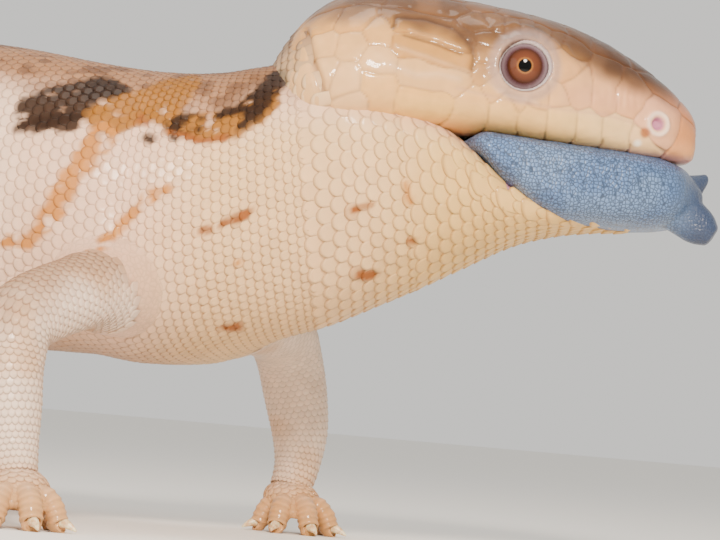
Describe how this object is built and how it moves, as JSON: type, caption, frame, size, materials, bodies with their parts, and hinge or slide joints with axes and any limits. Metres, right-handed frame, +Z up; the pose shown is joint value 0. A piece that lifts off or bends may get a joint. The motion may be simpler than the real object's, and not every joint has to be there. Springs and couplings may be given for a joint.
{
  "type": "blue-tongued skink",
  "caption": "Life-size still model of a blue-tongued skink standing on its forelegs, head raised, mouth open with the fat blue tongue out and the tail laid on the floor.",
  "frame": {"origin": "on the floor, under the middle of the model's box", "axes": "+X towards the snout, +Y to the animal's left, +Z up"},
  "size_m": [0.4763, 0.1692, 0.0882],
  "materials": {
    "skin": "smooth overlapping scales, satin, pinkish cream below and tan brown with orange and black-brown marks above",
    "skin_foot": "small scales with cross plates along the toes and cream horn claws",
    "tongue": "moist slate blue flesh with fine pale papillae",
    "eye": "wet, orange-brown iris round a black pupil"
  },
  "bodies": {
    "root": {"eye_left": "eye", "eye_right": "eye", "fore_left_foot": "skin_foot", "fore_left_lower": "skin", "fore_left_upper": "skin", "fore_right_foot": "skin_foot", "fore_right_lower": "skin", "fore_right_upper": "skin", "head": "skin", "hind_left_foot": "skin_foot", "hind_left_lower": "skin", "hind_left_upper": "skin", "hind_right_foot": "skin_foot", "hind_right_lower": "skin", "hind_right_upper": "skin", "lower_jaw": "skin", "neck": "skin", "tail_base": "skin", "tail_middle": "skin", "tail_tip": "skin", "tongue": "tongue", "torso_front": "skin", "torso_middle": "skin", "torso_rear": "skin"}
  },
  "joints": []
}
